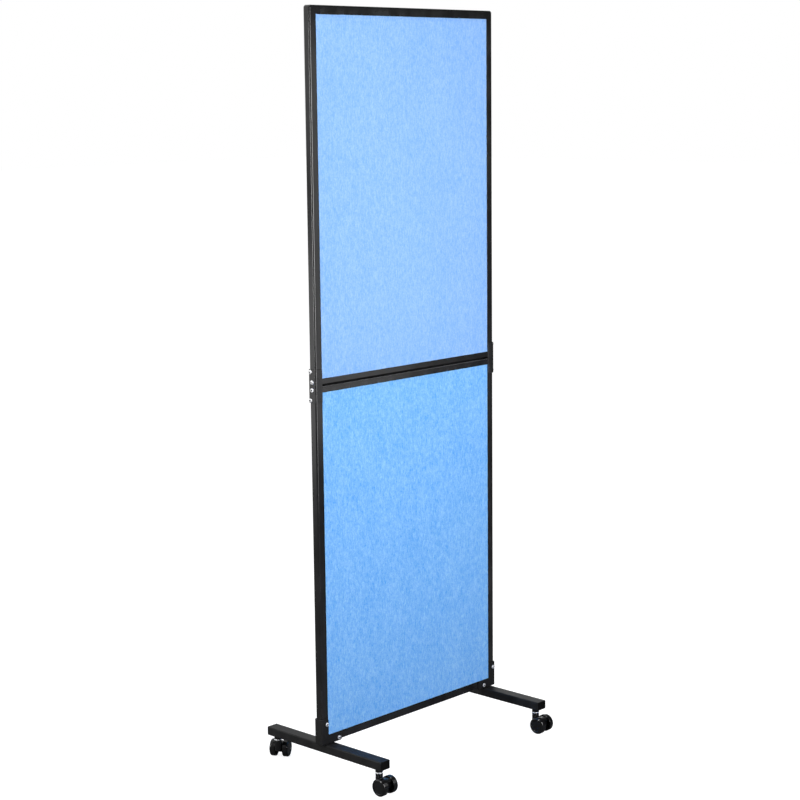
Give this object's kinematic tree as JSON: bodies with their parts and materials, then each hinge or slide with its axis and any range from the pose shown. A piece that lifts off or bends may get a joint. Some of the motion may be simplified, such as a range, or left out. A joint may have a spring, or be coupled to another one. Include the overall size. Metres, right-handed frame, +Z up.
{
  "type": "rolling acoustic partition",
  "caption": "Tall rolling screen: framed blue felt panels stacked one above the other in a black steel frame, on foot tubes with twin-wheel swivel casters.",
  "frame": {"origin": "on the floor under the middle of the frame", "axes": "+X along the width, -Y the front as pictured, +Z up"},
  "size_m": [0.6196, 0.4129, 1.7565],
  "materials": {
    "powder_coat": "semi-gloss black powder coat on steel",
    "felt": "needle-punched polyester felt board, sky blue, fine mottled fibre",
    "zinc": "bright zinc plate",
    "corner_plastic": "black nylon, satin",
    "caster_plastic": "black nylon, polished"
  },
  "bodies": {
    "screen": {"upper_left_stile": "powder_coat", "upper_left_corner": "corner_plastic", "upper_left_cross_rail_plug": "corner_plastic", "upper_right_stile": "powder_coat", "upper_right_corner": "corner_plastic", "upper_right_cross_rail_plug": "corner_plastic", "upper_cross_rail": "powder_coat", "upper_felt_panel": "felt", "lower_left_stile": "powder_coat", "lower_left_corner": "corner_plastic", "lower_left_cross_rail_plug": "corner_plastic", "lower_right_stile": "powder_coat", "lower_right_corner": "corner_plastic", "lower_right_cross_rail_plug": "corner_plastic", "lower_cross_rail": "powder_coat", "lower_felt_panel": "felt", "top_rail": "powder_coat", "bottom_rail": "powder_coat", "left_joint_sleeve": "powder_coat", "left_corner_bracket": "powder_coat", "left_foot_tube": "powder_coat", "left_sleeve_screws": "zinc", "left_bracket_screws": "zinc", "left_front_foot_plug": "corner_plastic", "left_rear_foot_plug": "corner_plastic", "right_joint_sleeve": "powder_coat", "right_corner_bracket": "powder_coat", "right_foot_tube": "powder_coat", "right_sleeve_screws": "zinc", "right_bracket_screws": "zinc", "right_front_foot_plug": "corner_plastic", "right_rear_foot_plug": "corner_plastic", "left_front_caster_bush": "powder_coat", "left_front_caster_stem": "zinc", "right_front_caster_bush": "powder_coat", "right_front_caster_stem": "zinc", "left_rear_caster_bush": "powder_coat", "left_rear_caster_stem": "zinc", "right_rear_caster_bush": "powder_coat", "right_rear_caster_stem": "zinc"},
    "left_front_caster": {"left_front_caster_hood": "caster_plastic", "left_front_caster_axle": "zinc"},
    "left_front_outer_wheel": {"left_front_outer_wheel": "caster_plastic"},
    "left_front_inner_wheel": {"left_front_inner_wheel": "caster_plastic"},
    "right_front_caster": {"right_front_caster_hood": "caster_plastic", "right_front_caster_axle": "zinc"},
    "right_front_outer_wheel": {"right_front_outer_wheel": "caster_plastic"},
    "right_front_inner_wheel": {"right_front_inner_wheel": "caster_plastic"},
    "left_rear_caster": {"left_rear_caster_hood": "caster_plastic", "left_rear_caster_axle": "zinc"},
    "left_rear_outer_wheel": {"left_rear_outer_wheel": "caster_plastic"},
    "left_rear_inner_wheel": {"left_rear_inner_wheel": "caster_plastic"},
    "right_rear_caster": {"right_rear_caster_hood": "caster_plastic", "right_rear_caster_axle": "zinc"},
    "right_rear_outer_wheel": {"right_rear_outer_wheel": "caster_plastic"},
    "right_rear_inner_wheel": {"right_rear_inner_wheel": "caster_plastic"}
  },
  "joints": [
    {"name": "left_front_swivel", "type": "hinge", "parent": "screen", "child": "left_front_caster", "pos_m": [-0.28, -0.167, 0.036], "axis": [0, 0, 1], "continuous": true},
    {"name": "left_front_outer_wheel_spin", "type": "hinge", "parent": "left_front_caster", "child": "left_front_outer_wheel", "pos_m": [-0.28032, -0.1855, 0.0205], "axis": [0.9998, -0.0175, 0], "continuous": true},
    {"name": "left_front_inner_wheel_spin", "type": "hinge", "parent": "left_front_caster", "child": "left_front_inner_wheel", "pos_m": [-0.28032, -0.1855, 0.0205], "axis": [0.9998, -0.0175, 0], "continuous": true},
    {"name": "right_front_swivel", "type": "hinge", "parent": "screen", "child": "right_front_caster", "pos_m": [0.28, -0.167, 0.036], "axis": [0, 0, 1], "continuous": true},
    {"name": "right_front_outer_wheel_spin", "type": "hinge", "parent": "right_front_caster", "child": "right_front_outer_wheel", "pos_m": [0.28097, -0.18548, 0.0205], "axis": [0.9986, 0.0523, 0], "continuous": true},
    {"name": "right_front_inner_wheel_spin", "type": "hinge", "parent": "right_front_caster", "child": "right_front_inner_wheel", "pos_m": [0.28097, -0.18548, 0.0205], "axis": [0.9986, 0.0523, 0], "continuous": true},
    {"name": "left_rear_swivel", "type": "hinge", "parent": "screen", "child": "left_rear_caster", "pos_m": [-0.28, 0.167, 0.036], "axis": [0, 0, 1], "continuous": true},
    {"name": "left_rear_outer_wheel_spin", "type": "hinge", "parent": "left_rear_caster", "child": "left_rear_outer_wheel", "pos_m": [-0.26382, 0.17597, 0.0205], "axis": [-0.4848, 0.8746, 0], "continuous": true},
    {"name": "left_rear_inner_wheel_spin", "type": "hinge", "parent": "left_rear_caster", "child": "left_rear_inner_wheel", "pos_m": [-0.26382, 0.17597, 0.0205], "axis": [-0.4848, 0.8746, 0], "continuous": true},
    {"name": "right_rear_swivel", "type": "hinge", "parent": "screen", "child": "right_rear_caster", "pos_m": [0.28, 0.167, 0.036], "axis": [0, 0, 1], "continuous": true},
    {"name": "right_rear_outer_wheel_spin", "type": "hinge", "parent": "right_rear_caster", "child": "right_rear_outer_wheel", "pos_m": [0.28, 0.1855, 0.0205], "axis": [-1, 0, 0], "continuous": true},
    {"name": "right_rear_inner_wheel_spin", "type": "hinge", "parent": "right_rear_caster", "child": "right_rear_inner_wheel", "pos_m": [0.28, 0.1855, 0.0205], "axis": [-1, 0, 0], "continuous": true}
  ]
}
